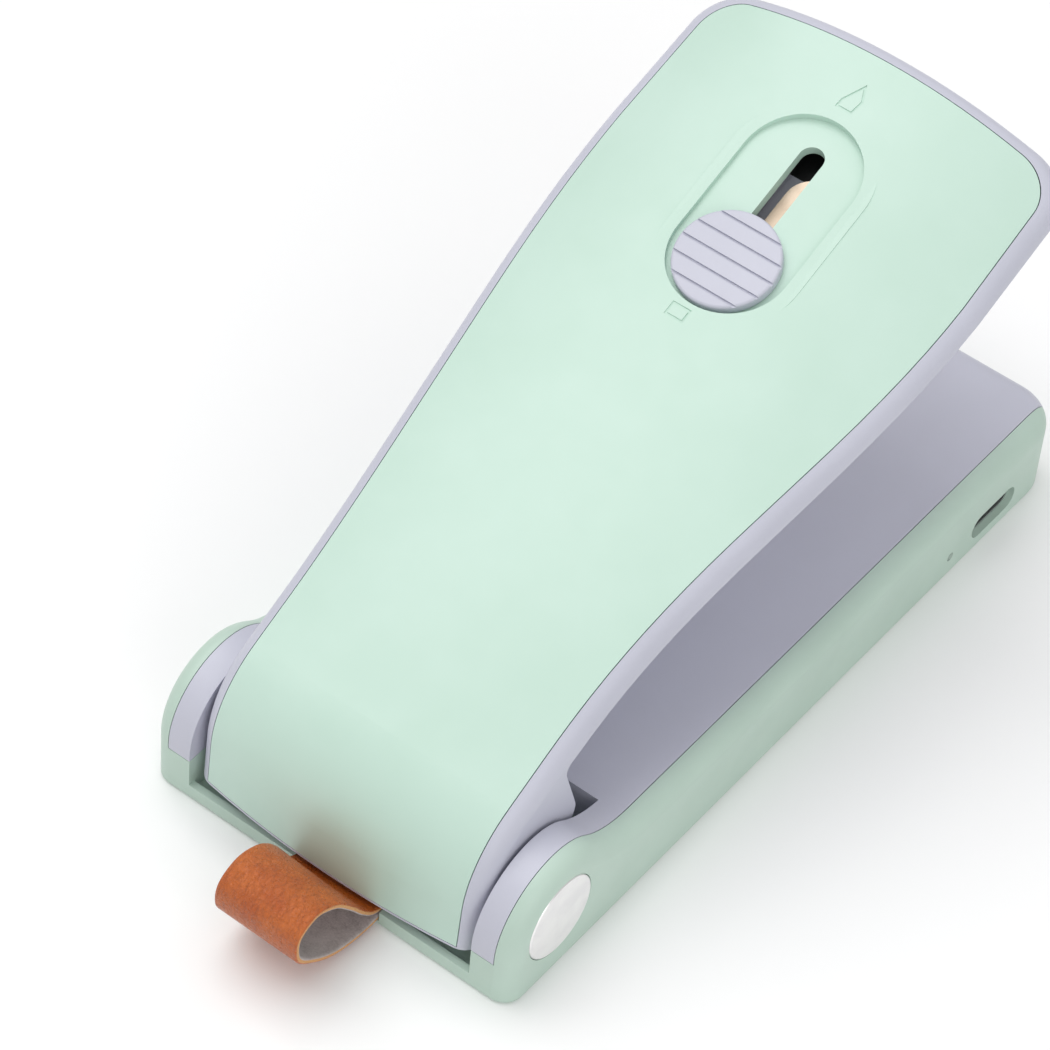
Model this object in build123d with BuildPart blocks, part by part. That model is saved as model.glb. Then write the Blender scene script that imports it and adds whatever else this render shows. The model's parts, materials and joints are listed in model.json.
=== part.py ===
"""Handheld bag heat sealer with a sprung lever, a sliding cutter and a leather strap loop.

Units are millimetres. X is the width (+X is the side with the USB socket), Y runs from the
hinge end (-Y) to the nose (+Y), and Z is up. The origin is the centre of the flat underside.
The lever is drawn on planes of its own frame, which stands at its open angle.
"""
from build123d import *
from math import cos, radians, sin
import os

# ---- driving dimensions: base ----------------------------------------------------------------
base_length = 109.6
base_width = 52.0
deck_height = 11.6
deck_thickness = 1.9
floor_thickness = 1.6
wall_inner_x = 21.9
edge_round = 2.5
front_corner_round = 6.0

lobe_radius = 9.5
lobe_setback = 9.5
lobe_centre_height = 7.2
lobe_blend_round = 13.0
inlay_half_width = 23.6
seam_gap = 0.1
seam_height = 6.4
ear_inner_x = 20.4
well_length = 22.5
well_wall = 1.5
well_floor = 2.8
lip_height = 2.3
gutter_rear = 0.9
gutter_front = 5.0
gutter_floor = 0.9
cut_through = 60.0
overrun = 5.0

hinge_setback = 8.6
hinge_height = 8.7
axle_radius = 1.5
axle_hole_radius = 1.55
axle_half_length = 25.1
cap_radius = 5.5
cap_thickness = 0.8
bush_radius = 2.7

port_setback = 95.2
port_height = 3.6
port_width = 9.2
port_tall = 3.4
lamp_setback = 86.0
lamp_height = 3.2
lamp_radius = 0.6

screw_head_radius = 1.9
screw_head_height = 0.9
screw_shaft_radius = 0.9
screw_hole_radius = 1.0
screw_slot_depth = 0.4
pilot_radius = 0.75
shallow_floor = 0.6
magnet_radius = 4.0
magnet_thickness = 1.2
spring_boss_radius = 2.1
spring_boss_height = 1.4
boss_radius = 2.4
boss_top = 5.0
base_screw_x = 18.6
base_screw_setbacks = (30.0, 66.0)

board_underside = 5.3
board_thickness = 1.0
sealing_setback = 98.6
plunger_setback = 88.0
plunger_radius = 2.0
plunger_top = 12.8

# ---- driving dimensions: lever ---------------------------------------------------------------
open_angle = 24.0
closed_angle = 1.5
crown_radius_rear = 130.0
crown_radius_nose = 54.0
cover_thickness = 1.7
flange_width = 1.9
flange_round = 2.6
lever_floor = 1.9
lever_rear_half = 18.0
lever_nose_half = 24.2
cover_nose = 102.0
lever_wall = 1.6
slide_slope = 3.84
slide_station = 77.7
slide_height = 11.0
button_rest = -6.6
button_radius = 6.4
button_height = 1.3
groove_pitch = 2.3
groove_width = 0.35
groove_depth = 0.3
recess_radius = 7.6
recess_depth = 1.1
recess_rear = -13.4
recess_front = 14.7
slot_half_width = 1.6
slot_length = 22.4
blade_x = -2.8
blade_thickness = 0.5

# ---- driving dimensions: strap ---------------------------------------------------------------
strap_width = 12.0
strap_centre_x = 1.4
leather_thickness = 0.8
strap_tail_height = 0.8
strap_tail_end = 12.5

# ---- places worked out from them -------------------------------------------------------------
half_width = base_width / 2
rear = -base_length / 2
front = base_length / 2
hinge_y = rear + hinge_setback
well_front = rear + well_length
cavity_rear = well_front + well_wall
cavity_front = front - 2.0
deck_underside = deck_height - deck_thickness
hinge = Vector(0, hinge_y, hinge_height)
flange_half = lever_rear_half + flange_width
recess_middle = (recess_rear + recess_front) / 2
recess_run = recess_front - recess_rear - 2 * recess_radius


def tilted(angle):
    """Forward and upward unit vectors of a frame tipped nose-up by an angle."""
    forward = Vector(0, cos(radians(angle)), sin(radians(angle)))
    upward = Vector(0, -sin(radians(angle)), cos(radians(angle)))
    return forward, upward


lever_forward, lever_up = tilted(open_angle)
slide_forward, slide_up = tilted(open_angle - slide_slope)
pad_up = tilted(open_angle - closed_angle)[1]
slide_centre = hinge + lever_forward * slide_station + lever_up * slide_height


def lever_side(x):
    """Side view of the lever at x: local x runs from the hinge to the nose, local y is up."""
    return Plane(origin=hinge + Vector(x, 0, 0), x_dir=lever_forward, z_dir=(1, 0, 0))


def lever_top(height):
    """Top view of the lever at a height over the hinge: local y runs to the nose."""
    return Plane(origin=hinge + lever_up * height, x_dir=(1, 0, 0), z_dir=lever_up)


def pad_top(height):
    """Top view, at a height over the hinge, in the frame that lies level when closed."""
    return Plane(origin=hinge + pad_up * height, x_dir=(1, 0, 0), z_dir=pad_up)


def slide_top(depth):
    """Top view at a depth under the recess floor: local y runs along the slide."""
    return Plane(origin=slide_centre - slide_up * depth, x_dir=(1, 0, 0), z_dir=slide_up)


def slide_side(x):
    """Side view at x: local x runs along the slide, local y is the height over the recess."""
    return Plane(origin=slide_centre + Vector(x, 0, 0), x_dir=slide_forward, z_dir=(1, 0, 0))


os.makedirs("parts", exist_ok=True)


def save(piece, label):
    """Name a finished piece and write its STEP file."""
    piece.part.label = label
    export_step(piece.part, f"parts/{label}.step")


def side_shape(points, plane, radii=None):
    """A closed side-view shape; the first and last points stay sharp when radii are given."""
    with BuildSketch(plane) as shape:
        with BuildLine():
            if radii is None:
                Polyline(*points, close=True)
            else:
                FilletPolyline(*points, radius=radii)
                Line(points[-1], points[0])
        make_face()
    return shape.sketch


def round_shape(plane, centres, radius):
    """Equal discs on a plane."""
    with BuildSketch(plane) as shape:
        with Locations(*centres):
            Circle(radius)
    return shape.sketch


# ---- base: the outer form that the mint shell and the lavender deck share --------------------
def base_side():
    """Side view of the base: a flat slab with a round ear at the hinge end."""
    ear_foot = lobe_setback + (lobe_radius**2 - (deck_height - lobe_centre_height) ** 2) ** 0.5
    with BuildSketch(Plane.YZ.offset(-half_width)) as outline:
        with Locations((rear + lobe_setback, lobe_centre_height)):
            Circle(lobe_radius)
        with Locations((rear + lobe_setback, 0)):
            Rectangle(base_length - lobe_setback, deck_height, align=(Align.MIN, Align.MIN))
        with Locations((rear, 0)):
            Rectangle(base_length, lobe_centre_height, align=(Align.MIN, Align.MIN))
        with Locations((rear, 0)):
            Rectangle(base_length, lobe_radius, align=(Align.MIN, Align.MAX), mode=Mode.SUBTRACT)
        corner = outline.vertices().sort_by_distance((0, rear + ear_foot, deck_height))[0]
        fillet(corner, lobe_blend_round)
    return outline.sketch


def on_side_rim(edge):
    """Is this edge on a side face, above the underside and behind the front corners?"""
    spot = edge.center()
    return (abs(abs(spot.X) - half_width) < 0.01 and spot.Z > 0.5
            and spot.Y < front - front_corner_round - 0.5)


def on_front_rim(edge):
    """Is this edge on the deck's front rim?"""
    spot = edge.center()
    return spot.Z > deck_height - 0.01 and spot.Y > front - front_corner_round


with BuildPart() as base_form:
    extrude(base_side(), amount=base_width)
    fillet(base_form.edges().filter_by(Axis.Z).group_by(Axis.Y)[-1], front_corner_round)
    rim = [edge for edge in base_form.edges() if on_side_rim(edge) or on_front_rim(edge)]
    fillet(rim, edge_round)
    chamfer(base_form.faces().sort_by(Axis.Z)[0].edges(), 0.4)


def cavity_outline(height, inner_half):
    """Rounded outline of the room inside the base, in front of the hinge well."""
    middle = (cavity_rear + cavity_front) / 2
    with BuildSketch(Plane.XY.offset(height)) as outline:
        with Locations((0, middle)):
            RectangleRounded(2 * inner_half, cavity_front - cavity_rear, 3.5)
    return outline.sketch


def well_outline(height):
    """Outline of the open well between the ears."""
    with BuildSketch(Plane.XY.offset(height)) as outline:
        with Locations((0, rear - overrun)):
            Rectangle(2 * ear_inner_x, well_length + overrun, align=(Align.CENTER, Align.MIN))
    return outline.sketch


def well_room():
    """Side view of the open well: a low lip, a gutter in front of it and a raised floor."""
    floor_line = [(rear - overrun, lip_height), (rear + gutter_rear, lip_height),
                  (rear + gutter_rear, gutter_floor), (rear + gutter_front, gutter_floor),
                  (rear + gutter_front, well_floor), (well_front, well_floor)]
    top = [(well_front, cut_through), (rear - overrun, cut_through)]
    return side_shape(floor_line + top, Plane.YZ.offset(-ear_inner_x))


def strap_bed(height, side_gap, end_gap):
    """Outline of the strap's tail, grown by a gap at its sides and its inner end."""
    with BuildSketch(Plane.XY.offset(height)) as outline:
        with Locations((strap_centre_x, rear - overrun)):
            Rectangle(strap_width + 2 * side_gap, strap_tail_end + end_gap + overrun,
                      align=(Align.CENTER, Align.MIN))
    return outline.sketch


def port_outline(x, grow):
    """USB opening on the +X side, grown by a distance all round."""
    with BuildSketch(Plane.YZ.offset(x)) as outline:
        with Locations((rear + port_setback, port_height)):
            SlotOverall(port_width + 2 * grow, port_tall + 2 * grow)
    return outline.sketch


base_screw_spots = [(x, rear + setback) for x in (-base_screw_x, base_screw_x)
                    for setback in base_screw_setbacks]
board_screw_spots = [(-16.0, rear + 74.0), (-16.0, rear + 102.0)]
clamp_setback = 8.6
clamp_screw_spots = [(strap_centre_x + side * 8.4, rear + clamp_setback) for side in (-1, 1)]
magnet_spots = [(0, rear + 36.0), (0, rear + 54.0)]
spring_spot = (0, rear + 16.1)
lamp_spot = (rear + lamp_setback, lamp_height)

# ---- mint base shell -------------------------------------------------------------------------
with BuildPart() as base_shell:
    add(base_form.part)
    with Locations((0, 0, seam_height)):
        Box(2 * inlay_half_width, 2 * base_length, cut_through,
            align=(Align.CENTER, Align.CENTER, Align.MIN), mode=Mode.SUBTRACT)
    extrude(cavity_outline(floor_thickness, wall_inner_x), amount=deck_height, mode=Mode.SUBTRACT)
    extrude(well_room(), amount=2 * ear_inner_x, mode=Mode.SUBTRACT)
    extrude(strap_bed(strap_tail_height - 0.05, 0.2, 0.2), amount=cut_through, mode=Mode.SUBTRACT)
    extrude(port_outline(wall_inner_x - 1, 0), amount=8, mode=Mode.SUBTRACT)
    extrude(round_shape(Plane.YZ.offset(wall_inner_x - 1), [lamp_spot], lamp_radius + 0.03),
            amount=8, mode=Mode.SUBTRACT)
    extrude(round_shape(Plane.YZ.offset(-half_width - 1), [(hinge_y, hinge_height)],
                        axle_hole_radius), amount=cut_through, mode=Mode.SUBTRACT)
    for face_x, outward in ((half_width - cap_thickness, 5), (cap_thickness - half_width, -5)):
        extrude(round_shape(Plane.YZ.offset(face_x), [(hinge_y, hinge_height)], cap_radius + 0.08),
                amount=outward, mode=Mode.SUBTRACT)
    extrude(round_shape(Plane.XY.offset(floor_thickness), base_screw_spots, boss_radius),
            amount=boss_top - floor_thickness)
    extrude(round_shape(Plane.XY, base_screw_spots, screw_hole_radius), amount=boss_top,
            mode=Mode.SUBTRACT)
    extrude(round_shape(Plane.XY, base_screw_spots, screw_head_radius + 0.1),
            amount=screw_head_height + 0.2, mode=Mode.SUBTRACT)
    extrude(round_shape(Plane.XY.offset(floor_thickness), board_screw_spots, boss_radius),
            amount=board_underside - floor_thickness)
    extrude(round_shape(Plane.XY.offset(floor_thickness), board_screw_spots, pilot_radius),
            amount=board_underside - floor_thickness, mode=Mode.SUBTRACT)
    extrude(round_shape(Plane.XY.offset(shallow_floor), clamp_screw_spots, pilot_radius),
            amount=well_floor, mode=Mode.SUBTRACT)
    extrude(round_shape(Plane.XY.offset(shallow_floor), magnet_spots, magnet_radius + 0.1),
            amount=floor_thickness, mode=Mode.SUBTRACT)
    extrude(round_shape(Plane.XY.offset(well_floor), [spring_spot], spring_boss_radius),
            amount=spring_boss_height)
save(base_shell, "base_shell")

# ---- lavender deck, which also faces the ears ------------------------------------------------
heater_spot = (0, rear + sealing_setback)
carrier_half_length = 9.0
carrier_half_depth = 4.0

with BuildPart() as base_deck:
    add(base_form.part)
    with Locations((0, 0, seam_height + seam_gap)):
        Box(2 * (inlay_half_width - seam_gap), 2 * base_length, cut_through,
            align=(Align.CENTER, Align.CENTER, Align.MIN), mode=Mode.INTERSECT)
    extrude(cavity_outline(0, wall_inner_x), amount=deck_underside, mode=Mode.SUBTRACT)
    extrude(well_outline(0), amount=cut_through, mode=Mode.SUBTRACT)
    extrude(round_shape(Plane.YZ.offset(-half_width), [(hinge_y, hinge_height)],
                        axle_hole_radius), amount=cut_through, mode=Mode.SUBTRACT)
    extrude(round_shape(Plane.XY.offset(boss_top + 0.05), base_screw_spots, boss_radius),
            amount=deck_underside - boss_top)
    extrude(round_shape(Plane.XY.offset(boss_top), base_screw_spots, screw_hole_radius),
            amount=4.3, mode=Mode.SUBTRACT)
    with Locations((*heater_spot, deck_height)):
        Box(2 * carrier_half_length + 0.2, 2 * carrier_half_depth + 0.2, 10, mode=Mode.SUBTRACT)
    extrude(round_shape(Plane.XY.offset(seam_height), [(0, rear + plunger_setback)],
                        plunger_radius + 0.06), amount=10, mode=Mode.SUBTRACT)
save(base_deck, "base_deck")

# ---- hinge axle and its end caps -------------------------------------------------------------
with BuildPart() as axle:
    extrude(round_shape(Plane.YZ.offset(-axle_half_length), [(hinge_y, hinge_height)],
                        axle_radius), amount=2 * axle_half_length)
save(axle, "axle")


def make_cap(side):
    """Flush metal disc that hides one end of the axle."""
    plane = Plane.YZ.offset(side * (half_width - cap_thickness + 0.02))
    with BuildPart() as cap:
        extrude(round_shape(plane, [(hinge_y, hinge_height)], cap_radius),
                amount=side * (cap_thickness + 0.08))
        outer = cap.faces().sort_by(Axis.X)[-1 if side > 0 else 0]
        fillet(outer.edges(), 0.25)
    return cap


save(make_cap(-1), "left_axle_cap")
save(make_cap(1), "right_axle_cap")

# ---- power: battery, magnets, board and what it carries --------------------------------------
battery_size = (32.0, 36.0, 6.0)
battery_bottom = 2.0
battery_middle = rear + 45.0

with BuildPart() as battery_cell:
    with Locations((0, battery_middle, battery_bottom)):
        Box(*battery_size, align=(Align.CENTER, Align.CENTER, Align.MIN))
    fillet(battery_cell.edges().filter_by(Axis.Y), 1.2)
save(battery_cell, "battery_cell")

with BuildPart() as magnets:
    extrude(round_shape(Plane.XY.offset(shallow_floor + 0.05), magnet_spots, magnet_radius),
            amount=magnet_thickness)
save(magnets, "magnets")

board_low = (-19.5, rear + 70.0)
board_high = (21.0, rear + 106.0)
board_middle = ((board_low[0] + board_high[0]) / 2, (board_low[1] + board_high[1]) / 2)
board_size = (board_high[0] - board_low[0], board_high[1] - board_low[1])

with BuildPart() as circuit_board:
    with BuildSketch(Plane.XY.offset(board_underside)):
        with Locations(board_middle):
            RectangleRounded(*board_size, 2.0)
        with Locations(*board_screw_spots):
            Circle(1.0, mode=Mode.SUBTRACT)
    extrude(amount=board_thickness)
save(circuit_board, "circuit_board")

board_top = board_underside + board_thickness
chip_layout = [(-8.0, 78.0, 5.0, 5.0, 0.9), (4.0, 77.5, 4.0, 3.0, 1.1), (11.0, 78.0, 3.0, 6.0, 1.5),
               (-13.0, 86.0, 2.0, 1.2, 0.6), (-13.0, 89.0, 2.0, 1.2, 0.6), (12.0, 86.0, 1.6, 0.8, 0.5)]

with BuildPart() as board_chips:
    for chip_x, chip_setback, chip_width, chip_depth, chip_height in chip_layout:
        with Locations((chip_x, rear + chip_setback, board_top)):
            Box(chip_width, chip_depth, chip_height, align=(Align.CENTER, Align.CENTER, Align.MIN))
save(board_chips, "board_chips")

switch_size = (6.0, 6.0, 1.4)

with BuildPart() as micro_switch:
    with Locations((0, rear + plunger_setback, board_top)):
        Box(*switch_size, align=(Align.CENTER, Align.CENTER, Align.MIN))
save(micro_switch, "micro_switch")

socket_mouth_x = half_width - 0.9
socket_length = 7.3
socket_wall = 0.3
socket_back = 1.0
tongue_size = (5.2, 6.6, 0.7)

with BuildPart() as usb_socket:
    extrude(port_outline(socket_mouth_x, -0.1), amount=-socket_length)
    extrude(port_outline(socket_mouth_x, -0.1 - socket_wall), amount=-(socket_length - socket_back),
            mode=Mode.SUBTRACT)
save(usb_socket, "usb_socket")

with BuildPart() as usb_tongue:
    with Locations((socket_mouth_x - socket_length + socket_back, rear + port_setback, port_height)):
        Box(*tongue_size, align=(Align.MIN, Align.CENTER, Align.CENTER))
save(usb_tongue, "usb_tongue")

with BuildPart() as indicator_lamp:
    extrude(round_shape(Plane.YZ.offset(wall_inner_x - 1.5), [lamp_spot], lamp_radius),
            amount=half_width - wall_inner_x + 1.5)
save(indicator_lamp, "indicator_lamp")

# ---- heater in the deck ----------------------------------------------------------------------
carrier_top = deck_height + 0.8
strip_half_length = 6.5
strip_half_width = 1.0
strip_thickness = 0.25
leg_thickness = 0.5
leg_x = strip_half_length - leg_thickness / 2
terminal_top = 8.4
terminal_width = 2.2
carrier_foot = 8.0
carrier_flange_size = (21.0, 10.4, 1.6)

with BuildPart() as heater_carrier:
    with Locations((*heater_spot, carrier_foot)):
        Box(*carrier_flange_size, align=(Align.CENTER, Align.CENTER, Align.MIN))
        Box(2 * carrier_half_length, 2 * carrier_half_depth, carrier_top - carrier_foot,
            align=(Align.CENTER, Align.CENTER, Align.MIN))
    for side in (-1, 1):
        with Locations((side * leg_x, heater_spot[1], carrier_foot)):
            Box(leg_thickness + 0.1, 2 * strip_half_width + 0.1, 10, mode=Mode.SUBTRACT)
            Box(terminal_width + 0.2, terminal_width + 0.2,
                2 * (terminal_top - carrier_foot) + 0.1, mode=Mode.SUBTRACT)
save(heater_carrier, "heater_carrier")

with BuildPart() as heater_strip:
    with Locations((*heater_spot, carrier_top)):
        Box(2 * strip_half_length, 2 * strip_half_width, strip_thickness,
            align=(Align.CENTER, Align.CENTER, Align.MIN))
    for side in (-1, 1):
        with Locations((side * leg_x, heater_spot[1], terminal_top)):
            Box(leg_thickness, 2 * strip_half_width, carrier_top - terminal_top,
                align=(Align.CENTER, Align.CENTER, Align.MIN))
save(heater_strip, "heater_strip")

tape_thickness = 0.15
tape_bottom = deck_height + 0.02
tape_inside_top = carrier_top + strip_thickness

with BuildPart() as heater_tape:
    with Locations((*heater_spot, tape_bottom)):
        Box(2 * carrier_half_length - 1, 2 * (carrier_half_depth + tape_thickness + 0.02),
            tape_inside_top + tape_thickness - tape_bottom,
            align=(Align.CENTER, Align.CENTER, Align.MIN))
        Box(2 * carrier_half_length, 2 * (carrier_half_depth + 0.02),
            tape_inside_top - tape_bottom,
            align=(Align.CENTER, Align.CENTER, Align.MIN), mode=Mode.SUBTRACT)
save(heater_tape, "heater_tape")

with BuildPart() as heater_terminals:
    for side in (-1, 1):
        with Locations((side * leg_x, heater_spot[1], terminal_top)):
            Box(terminal_width, terminal_width, terminal_top - board_top,
                align=(Align.CENTER, Align.CENTER, Align.MAX))
save(heater_terminals, "heater_terminals")


# ---- leads -----------------------------------------------------------------------------------
def lead(points, bend, radius):
    """Round insulated lead along a bent line."""
    with BuildLine() as run:
        FilletPolyline(*points, radius=bend)
    start = run.line @ 0
    with BuildSketch(Plane(origin=start, z_dir=run.line % 0)) as section:
        Circle(radius)
    return sweep(section.sketch, path=run.wires()[0], mode=Mode.PRIVATE)


battery_front = battery_middle + battery_size[1] / 2
lead_radius = 0.45
cell_lead_height = 5.0
heater_lead_height = 7.2
lead_height = board_top + lead_radius + 0.02

with BuildPart() as battery_leads:
    for lead_x in (-13.0, -11.0):
        add(lead([(lead_x, battery_front + 0.05, cell_lead_height),
                  (lead_x, battery_front + 3, cell_lead_height),
                  (lead_x, battery_front + 5, lead_height), (lead_x, rear + 75, lead_height)],
                 1.2, lead_radius))
save(battery_leads, "battery_leads")

with BuildPart() as heater_leads:
    for side in (-1, 1):
        terminal_x = side * (strip_half_length + 0.95)
        add(lead([(terminal_x, heater_spot[1], heater_lead_height),
                  (terminal_x + side * 4, heater_spot[1], heater_lead_height),
                  (terminal_x + side * 4, rear + 90, heater_lead_height)], 2.0, lead_radius))
save(heater_leads, "heater_leads")


# ---- screws ----------------------------------------------------------------------------------
def screw_group(plane, spots, head_radius, head_height, shaft_radius, shaft_length):
    """Identical slotted screws; the plane is each head's flat top and the shafts run below it."""
    with BuildPart() as group:
        extrude(round_shape(plane, spots, head_radius), amount=-head_height)
        extrude(round_shape(plane.offset(-head_height), spots, shaft_radius), amount=-shaft_length)
        with BuildSketch(plane) as slots:
            with Locations(*spots):
                Rectangle(2 * head_radius - 0.6, 0.5)
                Rectangle(0.5, 2 * head_radius - 0.6)
        extrude(slots.sketch, amount=-screw_slot_depth, mode=Mode.SUBTRACT)
    return group


underside = Plane(origin=(0, 0, 0.2), x_dir=(1, 0, 0), z_dir=(0, 0, -1))
mirrored_spots = [(x, -y) for x, y in base_screw_spots]
save(screw_group(underside, mirrored_spots, screw_head_radius, screw_head_height,
                 screw_shaft_radius, 7.8), "base_screws")
save(screw_group(Plane.XY.offset(board_top + 0.82), board_screw_spots, 1.6, 0.8, 0.7, 3.4),
     "board_screws")

# ---- strap, folded over so that both ends lie in the lip -------------------------------------
loop_points = [(2.0, 0.45), (-1.0, 1.4), (-2.3, 2.7), (-4.8, 6.0), (-7.8, 9.2), (-11.2, 10.6),
               (-13.8, 9.2), (-14.0, 6.2), (-10.9, 2.7), (-7.3, 0.5), (-2.0, -0.6), (2.0, -0.45)]
loop_stations = 40
layer_gap = 0.1
tail_middle = strap_tail_height + leather_thickness + layer_gap / 2
tail_top = strap_tail_height + 2 * leather_thickness + layer_gap
tail_end_y = rear + strap_tail_end


def loop_face_points(distance):
    """Points along one face of the leather, at a distance to the left of its middle line."""
    middle = Spline(*[(rear + y, tail_middle + z) for y, z in loop_points],
                    tangents=((-1, 0), (1, 0)), mode=Mode.PRIVATE)
    points = []
    for step in range(loop_stations + 1):
        spot = middle @ (step / loop_stations)
        along = middle % (step / loop_stations)
        points.append((spot.X + along.Y * distance, spot.Y - along.X * distance))
    return points


def strap_side():
    """Side view of the strap: a teardrop loop that closes into a double tail."""
    outer = loop_face_points(leather_thickness / 2)
    inner = loop_face_points(-leather_thickness / 2)[2:-2]
    tail_end = [(tail_end_y, outer[-1][1]), (tail_end_y, outer[0][1])]
    with BuildSketch(Plane.YZ.offset(strap_centre_x - strap_width / 2)) as shape:
        with BuildLine():
            Polyline(*outer, *tail_end, close=True)
        make_face()
        with BuildLine():
            Polyline(*inner, close=True)
        make_face(mode=Mode.SUBTRACT)
    return shape.sketch


with BuildPart() as strap_loop:
    extrude(strap_side(), amount=strap_width)
save(strap_loop, "strap_loop")

clamp_depth = 5.6
clamp_half = 10.4
clamp_thickness = 1.5
clamp_top = well_floor + 0.02 + clamp_thickness

with BuildPart() as strap_clamp:
    with Locations((strap_centre_x, rear + clamp_setback, clamp_top)):
        Box(2 * clamp_half, clamp_depth, clamp_thickness,
            align=(Align.CENTER, Align.CENTER, Align.MAX))
        Box(strap_width - 0.4, clamp_depth, clamp_top - tail_top - 0.02,
            align=(Align.CENTER, Align.CENTER, Align.MAX))
    extrude(round_shape(Plane.XY, clamp_screw_spots, 0.85), amount=8, mode=Mode.SUBTRACT)
save(strap_clamp, "strap_clamp")
save(screw_group(Plane.XY.offset(clamp_top + 0.82), clamp_screw_spots, 1.5, 0.8, 0.7, 3.2),
     "strap_screws")

# ---- return spring under the lever's heel ----------------------------------------------------
spring_top = 10.95
spring_wire_radius = 0.35
spring_coil_radius = 2.75
spring_turns = 4.5
spring_low = well_floor + spring_wire_radius + 0.02
spring_rise = spring_top - spring_wire_radius - spring_low

with BuildPart() as return_spring:
    with BuildLine() as coil:
        Helix(spring_rise / spring_turns, spring_rise, spring_coil_radius,
              center=(*spring_spot, spring_low))
    with BuildSketch(Plane(origin=coil.line @ 0, z_dir=coil.line % 0)):
        Circle(spring_wire_radius)
    sweep(path=coil.wires()[0], is_frenet=True)
save(return_spring, "return_spring")

# ---- switch plunger --------------------------------------------------------------------------
plunger_foot = board_top + 2.3
collar_foot = deck_underside - 0.85
collar_thickness = 0.8
plunger_spot = (0, rear + plunger_setback)

with BuildPart() as switch_plunger:
    extrude(round_shape(Plane.XY.offset(plunger_foot), [plunger_spot], plunger_radius),
            amount=plunger_top - plunger_foot)
    fillet(switch_plunger.faces().sort_by(Axis.Z)[-1].edges(), 0.6)
    extrude(round_shape(Plane.XY.offset(collar_foot), [plunger_spot], plunger_radius + 0.8),
            amount=collar_thickness)
save(switch_plunger, "switch_plunger")


# ---- lever: the crowned skin that the cover and the lavender shell share ---------------------
crest_points = [(-11.34, -2.0), (-3.7, 12.8), (30.0, 15.3), (106.0, 10.2)]
crest_rounds = [14.8, 190.0]
heel_cut = 4.1
band_half = 29.0
block_half = 28.0
cover_corner = 5.0
pocket_gap = 0.12


def crest_path():
    """Middle line of the lever's top, from under the heel to beyond the nose."""
    with BuildLine(lever_side(0)) as crest:
        FilletPolyline(*crest_points, radius=crest_rounds)
    return crest.wires()[0]


crest = crest_path()


def crown_section(station, radius, top, bottom, half):
    """Crowned band across the lever at one end of the crest line; local y points inwards."""
    plane = Plane(origin=crest @ station, x_dir=(1, 0, 0), z_dir=crest % station)
    with BuildSketch(plane) as band:
        with BuildLine():
            arcs = []
            for depth in (top, bottom):
                drop = radius - depth - ((radius - depth) ** 2 - half**2) ** 0.5 + depth
                arcs.append(ThreePointArc((-half, drop), (0, depth), (half, drop)))
            Line(arcs[0] @ 0, arcs[1] @ 0)
            Line(arcs[0] @ 1, arcs[1] @ 1)
        make_face()
    return band.sketch


def crown_band(top, bottom, half):
    """Solid between two depths under the lever's crowned top."""
    sections = [crown_section(0, crown_radius_rear, top, bottom, half),
                crown_section(1, crown_radius_nose, top, bottom, half)]
    return sweep(sections, path=crest, multisection=True, mode=Mode.PRIVATE)


def lever_outline(grow, corner):
    """Top view of the lever: waisted sides, a bowed nose and rounded nose corners."""
    rear_half = lever_rear_half + grow
    nose_half = lever_nose_half + grow
    shoulder = (nose_half - 0.5, cover_nose - 1.0 + grow)
    with BuildSketch(lever_top(-20)) as outline:
        with BuildLine():
            Line((rear_half, -18), (rear_half, 12))
            Spline((rear_half, 12), ((rear_half + nose_half) / 2 - 0.35, 46), (nose_half, 82),
                   tangents=((0, 1), (0, 1)))
            Line((nose_half, 82), shoulder)
            mirror(about=Plane.YZ)
            ThreePointArc(shoulder, (0, cover_nose + grow), (-shoulder[0], shoulder[1]))
            Line((-rear_half, -18), (rear_half, -18))
        make_face()
        fillet(outline.vertices().sort_by(Axis.Y)[-2:], corner)
    return outline.sketch


def below_level(cut):
    """Side view of all that lies lower than a distance under the hinge, in the open pose."""
    left = (-30.0, (-cut + 30.0 * sin(radians(open_angle))) / cos(radians(open_angle)))
    right = (30.0, (-cut - 30.0 * sin(radians(open_angle))) / cos(radians(open_angle)))
    return side_shape([left, right, (30, -60), (-30, -60)], lever_side(-30))


# ---- mint lever cover ------------------------------------------------------------------------
def stadium(plane, length, radius, centre=0.0):
    """Slot shape along the slide."""
    with BuildSketch(plane) as shape:
        with Locations((0, centre)):
            SlotCenterToCenter(length, 2 * radius, rotation=90)
    return shape.sketch


sole_point = (28.0, 10.4)
sole_slope = 6.36
sole_up = tilted(open_angle - sole_slope)[1]
sole_start = hinge + lever_forward * sole_point[0] + lever_up * sole_point[1]
rear_screw_spots = [(-12.0, 3.0), (12.0, 3.0)]
nose_screw_spots = [(-15.0, 64.5), (15.0, 64.5)]
lever_screw_spots = rear_screw_spots + nose_screw_spots
boss_foot = lever_floor + 0.05
cover_boss_radius = 2.2


def sole_top(height):
    """Top view at a height over the lever's flat underside: local y runs to the nose."""
    return Plane(origin=sole_start + sole_up * height, x_dir=(1, 0, 0), z_dir=sole_up)


icon_line = 0.3
icon_depth = 0.15


def icon_outline(points, plane):
    """Thin closed outline of a simple sign."""
    with BuildSketch(plane) as sign:
        with BuildLine():
            Polyline(*points, close=True)
        make_face()
        offset(amount=-icon_line, mode=Mode.SUBTRACT)
    return sign.sketch


blade_sign = [(-1.4, 16.4), (0.9, 16.4), (1.2, 18.4), (0.2, 20.6), (-1.3, 17.6)]
bag_sign = [(-2.0, -16.0), (0.6, -16.0), (0.6, -14.1), (-2.0, -14.1)]
pad_reach = 1.4
recess_wall = 1.6

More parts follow.
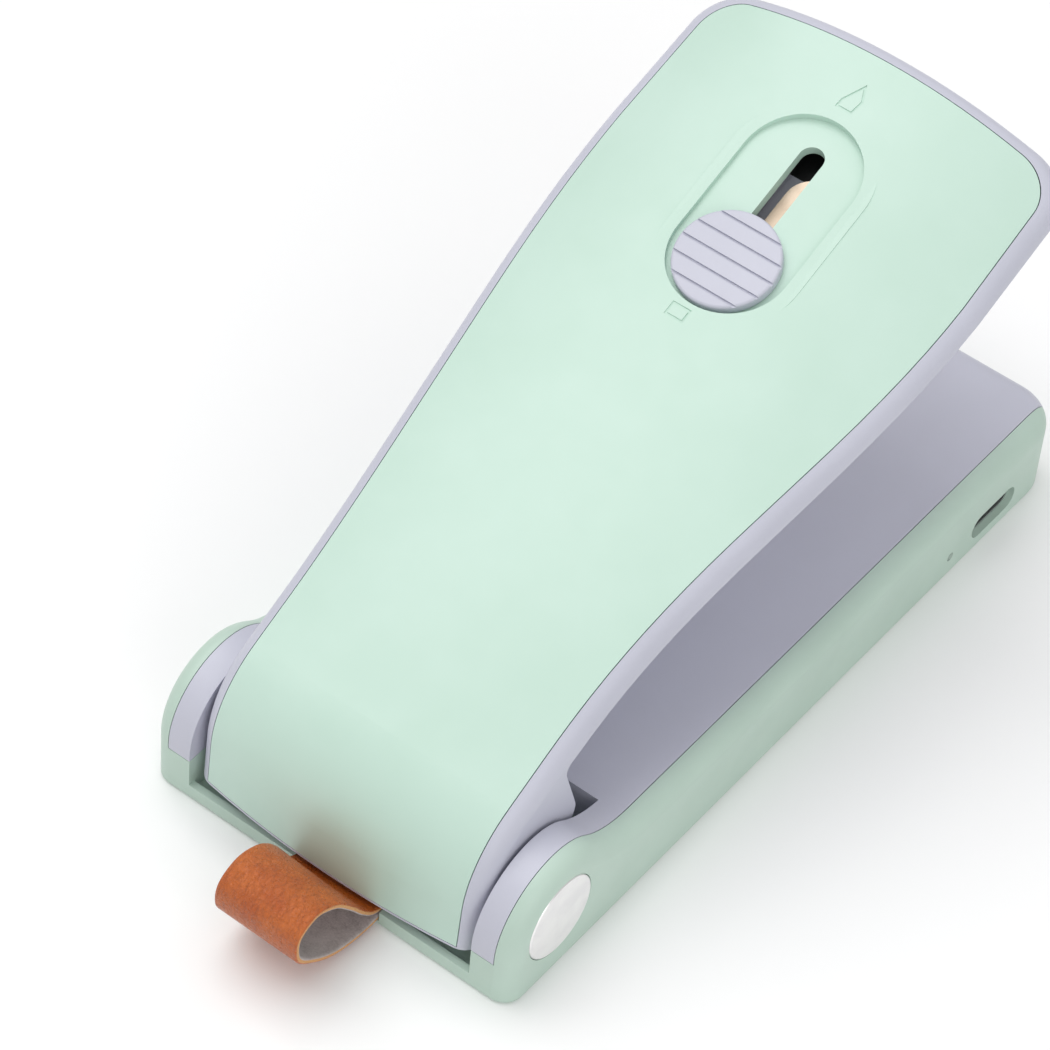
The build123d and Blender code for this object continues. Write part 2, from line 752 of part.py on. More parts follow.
with BuildPart() as lever_cover:
    add(crown_band(0, cover_thickness, band_half))
    extrude(stadium(slide_top(pad_reach), recess_run, recess_radius + recess_wall, recess_middle),
            amount=pad_reach + 0.5)
    extrude(lever_outline(0, cover_corner), amount=cut_through, mode=Mode.INTERSECT)
    extrude(below_level(heel_cut), amount=cut_through, mode=Mode.SUBTRACT)
    extrude(stadium(slide_top(0), recess_run, recess_radius, recess_middle), amount=8,
            mode=Mode.SUBTRACT)
    extrude(stadium(slide_top(pad_reach + 1), slot_length - 2 * slot_half_width, slot_half_width),
            amount=8, mode=Mode.SUBTRACT)
    for sign in (blade_sign, bag_sign):
        extrude(icon_outline(sign, slide_top(icon_depth - recess_depth)), amount=4,
                mode=Mode.SUBTRACT)
    extrude(round_shape(sole_top(boss_foot), rear_screw_spots, cover_boss_radius), amount=1.0)
    extrude(round_shape(sole_top(boss_foot), nose_screw_spots, cover_boss_radius), amount=2.8)
    extrude(round_shape(sole_top(0), lever_screw_spots, pilot_radius), amount=3.5,
            mode=Mode.SUBTRACT)
save(lever_cover, "lever_cover")

# ---- lavender lever shell: a tray under the cover, with cheeks that hold the axle ------------
block_points = [(107, 14), (107, 1.6), sole_point, (12.2, 9.4), (11.4, 0.5), (6, -4.7), (-3.5, -4.2),
                (-6.5, -2.0), (-13, 0.9), (-7.5, 15), (28, 18)]
block_rounds = [0.5, 120, 1.5, 2.5, 4, 3, 1, 0.5, 0.5]
tray_points = [(98.9, 25), (98.9, 4.4), (28, 12.3), (13.5, 11.35), (13.5, 25)]
heel_room_points = [(9.9, 10.5), (-1.65, 9.64), (-11.5, -9.16), (3.2, -12), (3.2, 2.2), (9.9, 2.2)]
heel_room_rounds = [11.5, 0.5, 0.5, 0.5]
seat_height = 0.5
room_corner = 3.6
shell_corner = 6.5


def on_flange_rim(edge):
    """Is this edge where the lever's crowned top meets its sides or its nose?"""
    arm = edge.center() - hinge
    along = arm.dot(lever_forward)
    above = arm.dot(lever_up)
    on_heel = along < -6 and above > 2.5
    over_sole = above > sole_point[1] + 0.9 - max(along - sole_point[0], 0) * 0.111
    outside = abs(edge.center().X) > 17 or along > 100
    upright = along > 50 and abs((edge % 0.5).dot(lever_up)) > 0.9
    return outside and (on_heel or over_sole) and not upright


with BuildPart() as cover_pocket:
    add(crown_band(-12, cover_thickness + 0.05, band_half + 0.5))
    extrude(lever_outline(pocket_gap, cover_corner + pocket_gap), amount=cut_through,
            mode=Mode.INTERSECT)
    extrude(below_level(heel_cut + pocket_gap), amount=cut_through, mode=Mode.SUBTRACT)

with BuildPart() as lever_room:
    extrude(side_shape(tray_points, lever_side(-block_half)), amount=2 * block_half)
    extrude(side_shape(heel_room_points, lever_side(-block_half), heel_room_rounds),
            amount=2 * block_half)
    extrude(lever_outline(-lever_wall, room_corner), amount=cut_through, mode=Mode.INTERSECT)

cheek_inner = lever_rear_half - lever_wall
spring_room_points = [(2.9, seat_height), (11.9, seat_height), (11.9, -9), (2.9, -9)]
pad_station = sealing_setback - hinge_setback
pad_seat = 5.2
pad_size = (16.0, 5.4)
holder_size = (20.0, 8.2)
pad_foot = carrier_top + strip_thickness + tape_thickness + 0.2 - hinge_height
boss_station = plunger_setback - hinge_setback
boss_bottom = plunger_top + 0.2 - hinge_height
presser_radius = 3.0
presser_height = 3.2
rib_foot = 4.9
track_left = -0.9
track_right = 6.0
track_rear = -17.7
track_front = 8.8
track_depth = 3.1
track_thickness = 0.6
channel_depth = 4.2

with BuildPart() as lever_shell:
    extrude(side_shape(block_points, lever_side(-block_half), block_rounds), amount=2 * block_half)
    add(crown_band(-14, 0, band_half + 1), mode=Mode.SUBTRACT)
    extrude(lever_outline(flange_width, shell_corner), amount=cut_through, mode=Mode.INTERSECT)
    fillet([edge for edge in lever_shell.edges() if on_flange_rim(edge)], flange_round)
    add(cover_pocket.part, mode=Mode.SUBTRACT)
    add(lever_room.part, mode=Mode.SUBTRACT)
    extrude(side_shape(spring_room_points, lever_side(-cheek_inner)), amount=2 * cheek_inner,
            mode=Mode.SUBTRACT)
    extrude(round_shape(Plane.YZ.offset(-half_width), [(hinge_y, hinge_height)], bush_radius + 0.02),
            amount=cut_through, mode=Mode.SUBTRACT)
    extrude(round_shape(pad_top(boss_bottom), [(0, boss_station)], presser_radius),
            amount=presser_height)
    with BuildSketch(slide_top(rib_foot)) as track_ribs:
        with Locations(((track_left + track_right) / 2, track_rear + 1.8),
                       ((track_left + track_right) / 2, track_front - 2.0)):
            Rectangle(5.0, 1.6)
    extrude(track_ribs.sketch, amount=rib_foot - track_depth)
    with BuildSketch(slide_top(channel_depth)) as channel:
        with Locations((blade_x + 0.5, 4.0)):
            Rectangle(2.8, 38.0)
        with Locations((blade_x, 26.0)):
            Rectangle(blade_thickness + 0.6, 14.0)
    extrude(channel.sketch, amount=channel_depth - 1.4, mode=Mode.SUBTRACT)
    with BuildSketch(pad_top(3.0)) as pad_slot:
        with Locations((0, pad_station)):
            Rectangle(holder_size[0] + 0.1, holder_size[1] + 0.1)
    extrude(pad_slot.sketch, amount=6.0, mode=Mode.SUBTRACT)
    extrude(round_shape(sole_top(-1), lever_screw_spots, 0.8), amount=5, mode=Mode.SUBTRACT)
    extrude(round_shape(sole_top(-1), lever_screw_spots, 1.7), amount=2.0, mode=Mode.SUBTRACT)
save(lever_shell, "lever_shell")

with BuildPart() as hinge_bushes:
    for inner_x in (cheek_inner, -flange_half):
        plane = Plane.YZ.offset(inner_x)
        extrude(round_shape(plane, [(hinge_y, hinge_height)], bush_radius),
                amount=flange_half - cheek_inner)
    extrude(round_shape(Plane.YZ.offset(-half_width), [(hinge_y, hinge_height)], axle_hole_radius),
            amount=cut_through, mode=Mode.SUBTRACT)
save(hinge_bushes, "hinge_bushes")

with BuildPart() as pad_holder:
    with BuildSketch(pad_top(pad_seat)):
        with Locations((0, pad_station)):
            Rectangle(*holder_size)
    extrude(amount=2.5)
    with BuildSketch(pad_top(pad_seat)):
        with Locations((0, pad_station)):
            Rectangle(pad_size[0] + 0.05, pad_size[1] + 0.05)
    extrude(amount=1.45, mode=Mode.SUBTRACT)
save(pad_holder, "pad_holder")

with BuildPart() as silicone_pad:
    with BuildSketch(pad_top(pad_foot)):
        with Locations((0, pad_station)):
            RectangleRounded(*pad_size, 0.5)
    extrude(amount=pad_seat + 1.42 - pad_foot)
save(silicone_pad, "silicone_pad")

save(screw_group(Plane(origin=sole_top(0.2).origin, x_dir=(1, 0, 0), z_dir=-sole_up),
                 [(x, -station) for x, station in lever_screw_spots], 1.6, 0.75, 0.7, 2.4),
     "lever_screws")

# ---- slide: metal track, button, carriage and cutter blade -----------------------------------
with BuildPart() as slide_track:
    with BuildSketch(slide_top(track_depth)):
        with Locations(((track_left + track_right) / 2, track_rear)):
            Rectangle(track_right - track_left, track_front - track_rear,
                      align=(Align.CENTER, Align.MIN))
    extrude(amount=track_thickness)
    track_nose = slide_track.edges().filter_by(Plane.YZ).filter_by(
        lambda edge: edge.length < 1).group_by(Axis.Y)[-1]
    fillet(track_nose, 3.3)
save(slide_track, "slide_track")

carriage_length = 14.0
neck_half_width = slot_half_width - 0.15
neck_length = 6.4
leg_foot = 3.95
button_lift = 0.12
plate_top = 1.55
plate_bottom = 2.25
leg_right = -1.2
leg_left = blade_x + blade_thickness / 2 + 0.02

with BuildPart() as slide_carriage:
    with BuildSketch(slide_top(plate_bottom)):
        with Locations((0, button_rest)):
            Rectangle(10, carriage_length)
            SlotOverall(neck_length + 0.04, 2 * neck_half_width + 0.04, rotation=90,
                        mode=Mode.SUBTRACT)
    extrude(amount=plate_bottom - plate_top)
    with BuildSketch(slide_top(leg_foot)):
        with Locations(((leg_left + leg_right) / 2 - 0.15, button_rest)):
            Rectangle(leg_right - leg_left - 0.3, carriage_length)
    extrude(amount=leg_foot - plate_bottom)
save(slide_carriage, "slide_carriage")

with BuildPart() as slide_button:
    with BuildSketch(slide_top(-button_lift)):
        with Locations((0, button_rest)):
            Circle(button_radius)
    extrude(amount=button_height)
    fillet(slide_button.faces().sort_by(lambda face: face.center().dot(slide_up))[-1].edges(), 0.35)
    with BuildSketch(slide_top(-button_lift - button_height)) as grip:
        with Locations((0, button_rest)):
            with GridLocations(0, groove_pitch, 1, 5):
                Rectangle(2 * button_radius, groove_width)
    extrude(grip.sketch, amount=-groove_depth, mode=Mode.SUBTRACT)
    with BuildSketch(slide_top(plate_bottom)) as neck:
        with Locations((0, button_rest)):
            SlotOverall(neck_length, 2 * neck_half_width, rotation=90)
    extrude(neck.sketch, amount=plate_bottom + 0.2)
save(slide_button, "slide_button")

rivet_radius = 0.44
rivet_head_radius = 0.7
rivet_plane = slide_side(blade_x - blade_thickness / 2 - 0.3)
rivet_spots = [(button_rest - 4.0, -3.2), (button_rest + 4.0, -3.2)]
blade_points = [(button_rest - 5.5, -leg_foot), (17.8, -leg_foot), (14.8, -1.6), (0.7, -1.6),
                (0.7, -2.4), (button_rest - 5.5, -2.4)]

with BuildPart() as cutter_blade:
    extrude(side_shape(blade_points, slide_side(blade_x - blade_thickness / 2)),
            amount=blade_thickness)
    extrude(round_shape(slide_side(blade_x - 1), rivet_spots, rivet_radius + 0.01), amount=2,
            mode=Mode.SUBTRACT)
save(cutter_blade, "cutter_blade")

with BuildPart() as blade_rivets:
    extrude(round_shape(rivet_plane, rivet_spots, rivet_radius), amount=blade_thickness + 0.32)
    extrude(round_shape(rivet_plane, rivet_spots, rivet_head_radius), amount=0.28)
save(blade_rivets, "blade_rivets")
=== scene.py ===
"""Looks for the handheld bag heat sealer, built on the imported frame. Metres, CAD frame."""
import json
import math

import bpy
from mathutils import Matrix, Vector


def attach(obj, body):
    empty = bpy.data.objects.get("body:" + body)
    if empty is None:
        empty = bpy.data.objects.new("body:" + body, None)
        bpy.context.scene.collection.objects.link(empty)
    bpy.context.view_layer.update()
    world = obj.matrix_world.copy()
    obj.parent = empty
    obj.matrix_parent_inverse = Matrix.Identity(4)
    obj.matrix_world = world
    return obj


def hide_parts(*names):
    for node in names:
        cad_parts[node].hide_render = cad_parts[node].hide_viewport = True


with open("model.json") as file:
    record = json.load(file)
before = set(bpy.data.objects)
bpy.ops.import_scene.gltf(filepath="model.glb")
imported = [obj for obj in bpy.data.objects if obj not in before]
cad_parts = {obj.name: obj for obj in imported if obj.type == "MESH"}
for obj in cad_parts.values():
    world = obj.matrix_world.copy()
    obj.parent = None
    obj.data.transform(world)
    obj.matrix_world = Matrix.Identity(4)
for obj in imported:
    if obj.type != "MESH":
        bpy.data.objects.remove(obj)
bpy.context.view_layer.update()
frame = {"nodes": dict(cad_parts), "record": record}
nodes = frame["nodes"]
MM = 0.001
scene = bpy.context.scene
scene.view_settings.view_transform = "Standard"
scene.view_settings.look = "None"

# ---- camera: long lens, from the right rear and above ------------------------------------------
CAMERA_PLACE = Vector((193.65, -306.47, 408.78)) * MM
CAMERA_RIGHT = Vector((0.78593, 0.61528, 0.06122))
CAMERA_DOWN = Vector((0.48744, -0.55561, -0.67357))
LENS_MM = 157.02

camera_data = bpy.data.cameras.new("camera")
camera_data.lens = LENS_MM
camera_data.sensor_width = 36.0
camera_data.clip_start = 0.01
camera_data.clip_end = 20.0
camera = bpy.data.objects.new("camera", camera_data)
scene.collection.objects.link(camera)
right = CAMERA_RIGHT.normalized()
up = -(CAMERA_DOWN - right * CAMERA_DOWN.dot(right)).normalized()
back = right.cross(up)
turn = Matrix((right, up, back)).transposed().to_4x4()
camera.matrix_world = Matrix.Translation(CAMERA_PLACE) @ turn
scene.camera = camera


# ---- material tools ----------------------------------------------------------------------------
class Nodes:
    """A short way to build one node material."""

    def __init__(self, name):
        self.material = bpy.data.materials.new(name)
        self.material.use_nodes = True
        self.tree = self.material.node_tree
        self.shader = self.tree.nodes["Principled BSDF"]
        self.place = self.tree.nodes.new("ShaderNodeTexCoord").outputs["Object"]

    def add(self, kind, inputs=None, **settings):
        """New node; an input given a socket is linked, any other is set."""
        node = self.tree.nodes.new(kind)
        for key, value in settings.items():
            setattr(node, key, value)
        for key, value in (inputs or {}).items():
            if isinstance(value, bpy.types.NodeSocket):
                self.tree.links.new(value, node.inputs[key])
            else:
                node.inputs[key].default_value = value
        return node

    def set(self, **values):
        """Link or set the shader's own inputs."""
        for key, value in values.items():
            socket = self.shader.inputs[key.replace("_", " ")]
            if isinstance(value, bpy.types.NodeSocket):
                self.tree.links.new(value, socket)
            else:
                socket.default_value = value

    def noise(self, size_mm, detail=2.0, roughness=0.5, stretch=(1, 1, 1), distortion=0.0):
        """Noise whose features are about size_mm across, drawn out along stretched axes."""
        mapping = self.add("ShaderNodeMapping", {"Vector": self.place,
                           "Scale": tuple(1.0 / (size_mm * MM * s) for s in stretch)})
        node = self.add("ShaderNodeTexNoise", {"Vector": mapping.outputs[0], "Scale": 1.0,
                        "Detail": detail, "Roughness": roughness, "Distortion": distortion})
        return node.outputs["Fac"]

    def cells(self, size_mm):
        """Distance to the nearest of scattered points about size_mm apart."""
        mapping = self.add("ShaderNodeMapping", {"Vector": self.place,
                           "Scale": (1.0 / (size_mm * MM),) * 3})
        node = self.add("ShaderNodeTexVoronoi", {"Vector": mapping.outputs[0], "Scale": 1.0})
        return node.outputs["Distance"]

    def span(self, value, low, high, out_low, out_high):
        """value carried from low..high to out_low..out_high."""
        node = self.add("ShaderNodeMapRange", {"Value": value, "From Min": low, "From Max": high,
                        "To Min": out_low, "To Max": out_high})
        return node.outputs["Result"]

    def blend(self, factor, a, b):
        """Colour a at factor 0 and colour b at factor 1."""
        node = self.add("ShaderNodeMix", data_type="RGBA")
        for index, value in ((0, factor), (6, a), (7, b)):
            if isinstance(value, bpy.types.NodeSocket):
                self.tree.links.new(value, node.inputs[index])
            elif index == 0:
                node.inputs[index].default_value = value
            else:
                node.inputs[index].default_value = (*value, 1.0)
        return node.outputs[2]

    def maths(self, operation, a, b):
        return self.add("ShaderNodeMath", {0: a, 1: b}, operation=operation).outputs[0]

    def bump(self, height, depth_mm, under=None):
        """Normal for a height map depth_mm deep, laid over another normal if one is given."""
        inputs = {"Height": height, "Strength": 1.0, "Distance": depth_mm * MM}
        if under is not None:
            inputs["Normal"] = under
        return self.add("ShaderNodeBump", inputs).outputs["Normal"]


def srgb(red, green, blue):
    """0 to 255 screen colour as linear light."""
    out = []
    for channel in (red, green, blue):
        c = channel / 255
        out.append(c / 12.92 if c <= 0.04045 else ((c + 0.055) / 1.055) ** 2.4)
    return tuple(out)


def moulded_plastic(name, colour, shade, rough=(0.36, 0.46), grain_mm=0.22, grain_depth=0.004):
    """Satin moulded plastic: faint cloudiness, a fine spark-eroded grain and uneven gloss."""
    m = Nodes(name)
    clouds = m.noise(14.0, detail=3.0)
    fine = m.noise(0.9, detail=3.0)
    mixed = m.blend(m.span(clouds, 0.35, 0.65, 0.0, 1.0), colour, shade)
    tint = m.blend(m.span(fine, 0.3, 0.7, 0.0, 0.12), mixed, shade)
    grain = m.noise(grain_mm, detail=4.0, roughness=0.65)
    ripple = m.noise(6.0, detail=1.0)
    normal = m.bump(ripple, 0.012)
    m.set(Base_Color=tint, Roughness=m.span(m.noise(3.0, detail=4.0), 0.3, 0.7, *rough),
          Normal=m.bump(grain, grain_depth, normal), IOR=1.47)
    return m.material


LINE_DEPTH_MM = 0.002


def brushed_metal(name, colour, shade, rough=(0.22, 0.42), stretch=(1, 1, 14), line_mm=0.08,
                  blotch_mm=2.5):
    """Metal with fine drawn lines and soft blotches in its gloss."""
    m = Nodes(name)
    lines = m.noise(line_mm, detail=3.0, stretch=stretch)
    blotch = m.noise(blotch_mm, detail=3.0)
    m.set(Base_Color=m.blend(m.span(blotch, 0.35, 0.65, 0.0, 1.0), colour, shade),
          Metallic=1.0, Roughness=m.span(m.maths("ADD", lines, blotch), 0.7, 1.3, *rough),
          Normal=m.bump(lines, LINE_DEPTH_MM))
    return m.material


mint = moulded_plastic("mint_plastic", srgb(192, 214, 201), srgb(187, 209, 196))
cover_mint = moulded_plastic("cover_plastic", srgb(199, 225, 212), srgb(195, 222, 208),
                             rough=(0.32, 0.42), grain_mm=0.16, grain_depth=0.002)
lavender = moulded_plastic("lavender_plastic", srgb(200, 201, 214), srgb(197, 198, 211))
black_plastic = moulded_plastic("black_plastic", srgb(30, 30, 32), srgb(38, 38, 40),
                                rough=(0.4, 0.55))
bush_plastic = moulded_plastic("bush_plastic", srgb(232, 230, 224), srgb(226, 224, 216))
carrier_plastic = moulded_plastic("carrier_plastic", srgb(226, 223, 214), srgb(214, 210, 200))
silicone = moulded_plastic("silicone", srgb(206, 112, 84), srgb(196, 100, 74), rough=(0.55, 0.7))
lamp_plastic = moulded_plastic("lamp_plastic", srgb(150, 170, 158), srgb(140, 160, 150),
                               rough=(0.2, 0.3))
board = moulded_plastic("board", srgb(22, 92, 50), srgb(18, 80, 44), rough=(0.25, 0.4))
lead_red = moulded_plastic("lead_red", srgb(176, 28, 24), srgb(160, 24, 20), rough=(0.4, 0.5))
lead_white = moulded_plastic("lead_white", srgb(226, 226, 222), srgb(214, 214, 210))
cap_metal = brushed_metal("cap_metal", (0.95, 0.93, 0.93), (0.89, 0.87, 0.88), stretch=(1, 1, 1),
                          rough=(0.28, 0.44), line_mm=0.25)
steel = brushed_metal("steel", (0.62, 0.62, 0.63), (0.52, 0.52, 0.53))
track_metal = brushed_metal("track_metal", (0.66, 0.54, 0.43), (0.56, 0.45, 0.35),
                            stretch=(1, 12, 1), rough=(0.42, 0.55), blotch_mm=6.0)
blade_steel = brushed_metal("blade_steel", (0.74, 0.75, 0.76), (0.66, 0.67, 0.68),
                            rough=(0.15, 0.3))
socket_steel = brushed_metal("socket_steel", (0.66, 0.66, 0.67), (0.5, 0.5, 0.51),
                             rough=(0.3, 0.45))
heater_metal = brushed_metal("heater_metal", (0.56, 0.53, 0.49), (0.46, 0.43, 0.40))
brass = brushed_metal("brass", (0.80, 0.62, 0.30), (0.70, 0.53, 0.24))
cell_foil = brushed_metal("cell_foil", (0.72, 0.73, 0.74), (0.62, 0.63, 0.64), rough=(0.35, 0.5))


def coated_cloth():
    """Brown glass cloth with a slippery coating; the weave shows through."""
    m = Nodes("tape")
    weave = [m.add("ShaderNodeTexWave", {"Vector": m.place, "Scale": 420.0},
                   bands_direction=axis).outputs["Fac"] for axis in ("X", "Y")]
    cloth = m.maths("MULTIPLY", *weave)
    m.set(Base_Color=m.blend(cloth, srgb(122, 82, 52), srgb(160, 112, 76)), Roughness=0.38,
          Normal=m.bump(cloth, 0.02))
    return m.material


tape = coated_cloth()


def tan_leather():
    """Polished tan leather: fine creased grain, dark creases, soft mottling and uneven gloss."""
    m = Nodes("leather_grain")
    grain = m.cells(0.34)
    crease = m.noise(0.5, detail=5.0, roughness=0.7, stretch=(1, 1.8, 1.8), distortion=0.8)
    mottle = m.noise(4.5, detail=4.0, roughness=0.6)
    fine = m.noise(0.1, detail=3.0)
    base = m.blend(m.span(mottle, 0.32, 0.68, 0.0, 1.0), srgb(182, 86, 28), srgb(204, 108, 40))
    pores = m.blend(m.span(crease, 0.48, 0.72, 0.0, 0.5), base, srgb(124, 54, 20))
    under = m.bump(crease, 0.32, m.bump(m.maths("SUBTRACT", 1.0, grain), 0.09))
    normal = m.bump(fine, 0.008, under)
    m.set(Base_Color=pores, Roughness=m.span(m.noise(0.7, detail=4.0), 0.3, 0.7, 0.24, 0.42),
          Normal=normal, Specular_IOR_Level=0.5, Coat_Weight=0.08, Coat_Roughness=0.16,
          Coat_Normal=normal)
    return m.material


def suede():
    """Fuzzy flesh side of the leather: short nap in brushed patches, with painted highlights on
    the nap.
    """
    m = Nodes("leather_suede")
    nap_and_sheen = m.noise(0.25, detail=6.0, roughness=0.75)
    patch = m.noise(2.2, detail=4.0, distortion=1.0)
    tone = m.blend(m.span(patch, 0.3, 0.7, 0.0, 1.0), srgb(138, 122, 120), srgb(188, 174, 172))
    # painted highlight: the nap noise lays pale flecks over the tone, standing in for light
    # catching the fibre tips
    m.set(Base_Color=m.blend(m.span(nap_and_sheen, 0.35, 0.65, 0.0, 0.6), tone, srgb(216, 204, 200)),
          Roughness=0.95, Normal=m.bump(nap_and_sheen, 0.12), Sheen_Weight=0.35, Sheen_Roughness=0.5)
    return m.material


def cut_edge():
    """Raw cut edge of the leather, paler and fibrous."""
    m = Nodes("leather_edge")
    fibre = m.noise(0.15, detail=5.0, stretch=(5, 1, 1))
    tone = m.blend(m.span(fibre, 0.3, 0.7, 0.0, 1.0), srgb(190, 128, 76), srgb(224, 176, 122))
    m.set(Base_Color=tone, Roughness=0.8, Normal=m.bump(fibre, 0.05))
    return m.material


SKINS = {
    "mint_plastic": mint, "cover_plastic": cover_mint, "lavender_plastic": lavender,
    "black_plastic": black_plastic, "bush_plastic": bush_plastic, "silicone": silicone,
    "carrier_plastic": carrier_plastic, "lamp_plastic": lamp_plastic, "board": board,
    "lead_red": lead_red, "lead_white": lead_white, "cap_metal": cap_metal, "steel": steel,
    "track_metal": track_metal, "blade_steel": blade_steel, "socket_steel": socket_steel,
    "heater_metal": heater_metal, "brass": brass, "cell_foil": cell_foil, "tape": tape,
}
for part in frame["record"]["subparts"]:
    skin = SKINS.get(part["material_slot"])
    if skin is None:
        continue
    mesh = nodes[part["node"]].data
    mesh.materials.clear()
    mesh.materials.append(skin)

# ---- leather strap: two layers under the clamp, and a loop behind the rear lip, in mm ----------
STRAP_LEATHER = 0.8
LAYER_GAP = 0.1
STRAP_WIDTH = 12.0
STRAP_MIDDLE_X = 1.4
TAIL_HEIGHT = 0.8
TAIL_MIDDLE_Z = TAIL_HEIGHT + STRAP_LEATHER + LAYER_GAP / 2
TAIL_END = 12.5
LIP_Y = -54.8
# Each point is the distance in front of the lip and the height over the tail's middle.
LOOP = [(2.0, 0.45), (-1.0, 1.4), (-2.3, 2.7), (-4.8, 6.0), (-7.8, 9.2), (-11.2, 10.6),
        (-13.8, 9.2), (-14.0, 6.2), (-10.9, 2.7), (-7.3, 0.5), (-2.0, -0.6), (2.0, -0.45)]
# Places in LOOP.
FIRST_BEND, THROAT, CREST, TIP = 1, 2, 5, 7
FULLER_TOP = 0.7
LOWER_BACK = 0.6
SWELL_REACH = 1.6
SWELL_RISE = 0.5
TAIL_STEPS = 12
LOOP_STEPS = 12
COLUMNS = 28
EDGE_ROUND = 0.3
EDGE_THIN = 0.45
EDGE_SWELL = 0.54
# Order of the strap's materials.
FACE, FLESH, CUT = range(3)


def smooth_line(points, first, last, steps):
    """Points on a smooth curve through the given ones, with set directions at both ends.

    Each stretch is a cubic that leaves and meets its two points at their own slopes.
    """
    count = len(points)
    chords = [math.dist(points[i], points[i + 1]) for i in range(count - 1)]
    slopes = []
    for i in range(count):
        if i in (0, count - 1):
            slopes.append(first if i == 0 else last)
            continue
        before, after = chords[i - 1], chords[i]
        slopes.append(tuple(
            ((points[i][k] - points[i - 1][k]) / before * after
             + (points[i + 1][k] - points[i][k]) / after * before) / (before + after)
            for k in range(2)))
    line = []
    for i in range(count - 1):
        for step in range(steps):
            t = step / steps
            from_here = 2 * t**3 - 3 * t**2 + 1
            leaving = (t**3 - 2 * t**2 + t) * chords[i]
            to_next = 3 * t**2 - 2 * t**3
            meeting = (t**3 - t**2) * chords[i]
            line.append(tuple(from_here * points[i][k] + leaving * slopes[i][k]
                              + to_next * points[i + 1][k] + meeting * slopes[i + 1][k]
                              for k in range(2)))
    line.append(points[-1])
    return line


def strap_line(slack):
    """Middle line of the leather as (setback, height over the tail's middle).

    slack is 0 at the strap's right edge and 1 at its left edge, where the loop has settled: its
    front swells by FULLER_TOP and its back drops by LOWER_BACK.
    """
    mouth, half = LOOP[0]
    low, high = LOOP[FIRST_BEND][1], LOOP[CREST][1]
    near, throat_height = LOOP[THROAT]
    far = LOOP[TIP][0]
    run = [TAIL_END + (mouth - TAIL_END) * i / TAIL_STEPS for i in range(TAIL_STEPS)]
    settled = []
    for y, z in LOOP:
        rise = max(z - low, 0) / (high - low)
        reach = max(near - y, 0) / (near - far)
        front = math.sin(math.pi * min(reach * SWELL_REACH, 1.0)) if z > throat_height else 0.0
        swell = FULLER_TOP * front
        drop = LOWER_BACK * rise * reach
        settled.append((y + slack * (swell + drop), z + slack * (SWELL_RISE * swell - drop)))
    loop = smooth_line(settled, (-1.0, 0.0), (1.0, 0.0), LOOP_STEPS)
    return [(y, half) for y in run] + loop + [(y, -half) for y in reversed(run)]


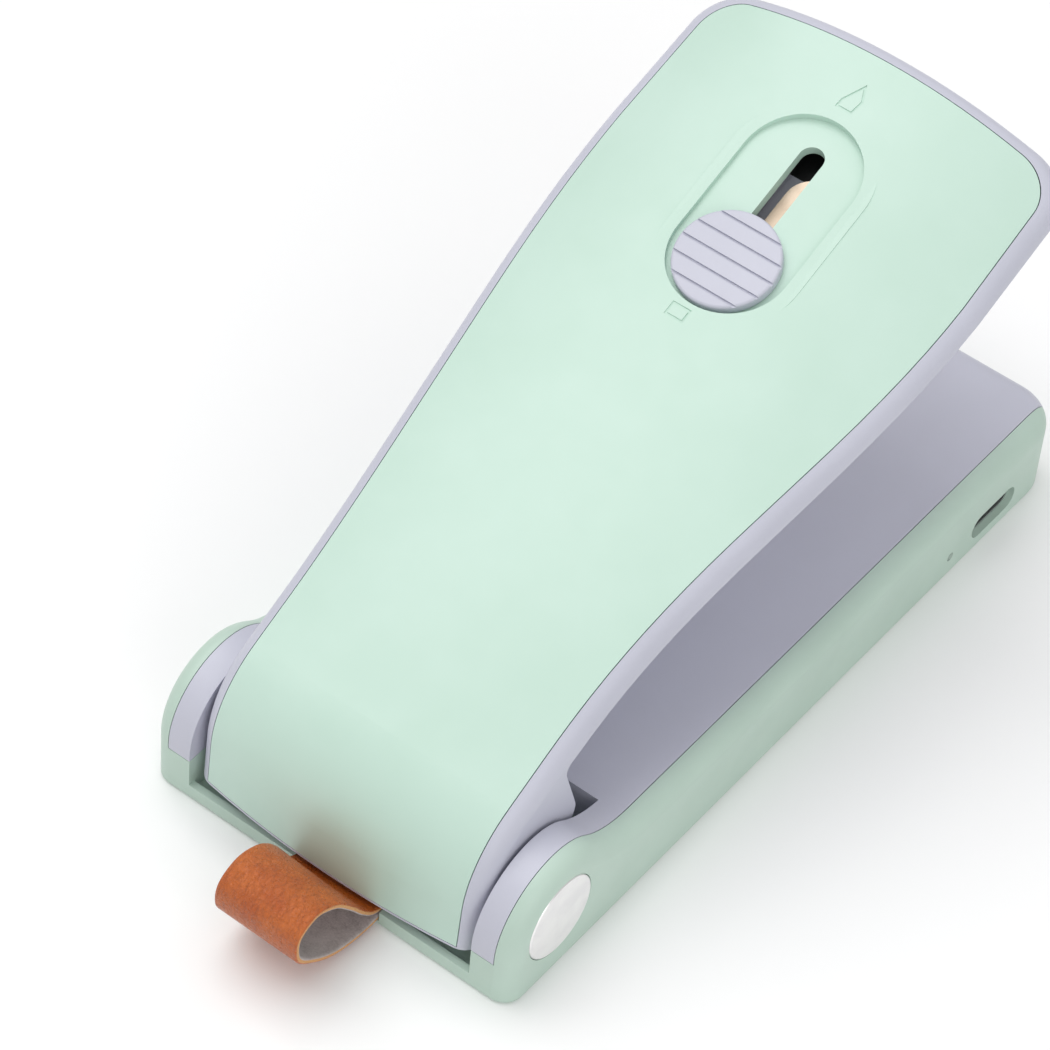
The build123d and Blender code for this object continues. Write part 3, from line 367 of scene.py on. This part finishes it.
def make_strap():
    """The folded leather as one closed skin, and the length of its middle line in mm."""
    half_width = STRAP_WIDTH / 2
    half_leather = STRAP_LEATHER / 2
    across = []
    for j in range(COLUMNS + 1):
        x = -math.cos(math.pi * j / COLUMNS) * half_width
        inset = max(abs(x) - (half_width - EDGE_ROUND), 0) / EDGE_ROUND
        fullness = EDGE_THIN + EDGE_SWELL * math.sqrt(max(1 - inset**2, 0))
        across.append((x, half_leather * fullness))
    lines = [strap_line(0.5 - x / STRAP_WIDTH) for x, _ in across]
    rows = len(lines[0])
    verts, faces, kinds = [], [], []
    for side in (1, -1):
        for i in range(rows):
            for (x, lift), line in zip(across, lines):
                before = line[max(i - 1, 0)]
                after = line[min(i + 1, rows - 1)]
                along = Vector((after[0] - before[0], after[1] - before[1])).normalized()
                normal = Vector((along.y, -along.x)) * side
                verts.append(Vector((STRAP_MIDDLE_X + x, LIP_Y + line[i][0] + normal.x * lift,
                                     TAIL_MIDDLE_Z + line[i][1] + normal.y * lift)) * MM)
    width = COLUMNS + 1
    layer = rows * width
    for i in range(rows - 1):
        for j in range(COLUMNS):
            a = i * width + j
            quad = (a, a + 1, a + 1 + width, a + width)
            faces.append(quad)
            kinds.append(FACE)
            faces.append(tuple(layer + k for k in reversed(quad)))
            kinds.append(FLESH)
        for j, flip in ((0, True), (COLUMNS, False)):
            a = i * width + j
            quad = (a, a + layer, a + layer + width, a + width)
            faces.append(tuple(reversed(quad)) if flip else quad)
            kinds.append(CUT)
    for i, flip in ((0, False), (rows - 1, True)):
        for j in range(COLUMNS):
            a = i * width + j
            quad = (a, a + layer, a + 1 + layer, a + 1)
            faces.append(tuple(reversed(quad)) if flip else quad)
            kinds.append(CUT)
    mesh = bpy.data.meshes.new("strap_leather")
    mesh.from_pydata(verts, [], faces)
    for material in (tan_leather(), suede(), cut_edge()):
        mesh.materials.append(material)
    mesh.polygons.foreach_set("material_index", kinds)
    mesh.polygons.foreach_set("use_smooth", [True] * len(faces))
    mesh.update()
    piece = bpy.data.objects.new("strap_leather", mesh)
    scene.collection.objects.link(piece)
    middle = lines[COLUMNS // 2]
    length = sum(math.dist(middle[i], middle[i + 1]) for i in range(rows - 1))
    return piece, length


strap, strap_length = make_strap()
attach(strap, "base")
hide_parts("strap_loop")

# ---- floor and lights --------------------------------------------------------------------------
FLOOR_HALF = 3.0
FLOOR_WHITE = 0.97
SKY_STRENGTH = 0.55
LIGHT_AIM = Vector((0.0, 0.0, 0.02))

floor_mesh = bpy.data.meshes.new("floor")
corners = [(FLOOR_HALF * x, FLOOR_HALF * y, 0) for x, y in ((-1, -1), (1, -1), (1, 1), (-1, 1))]
floor_mesh.from_pydata(corners, [], [(0, 1, 2, 3)])
floor = bpy.data.objects.new("floor", floor_mesh)
scene.collection.objects.link(floor)
floor_skin = Nodes("floor")
floor_skin.set(Base_Color=(FLOOR_WHITE, FLOOR_WHITE, FLOOR_WHITE, 1), Roughness=0.22, IOR=1.4)
floor_mesh.materials.append(floor_skin.material)

world = bpy.data.worlds.new("studio")
scene.world = world
world.use_nodes = True
sky = world.node_tree.nodes["Background"].inputs
sky["Color"].default_value = (1.0, 1.0, 1.0, 1)
sky["Strength"].default_value = SKY_STRENGTH


def softbox(name, place, side, power):
    """Square soft light at a place, in metres, aimed at the part."""
    data = bpy.data.lights.new(name, "AREA")
    data.shape = "RECTANGLE"
    data.size = side
    data.size_y = side
    data.energy = power
    light = bpy.data.objects.new(name, data)
    scene.collection.objects.link(light)
    light.location = place
    light.rotation_euler = (LIGHT_AIM - Vector(place)).to_track_quat("-Z", "Y").to_euler()


softbox("key", place=(-0.45, -0.05, 1.0), side=1.0, power=6.0)
softbox("top", place=(0.1, 0.3, 1.2), side=1.4, power=2.0)
softbox("side", place=(0.9, -0.6, 0.55), side=0.8, power=3.2)
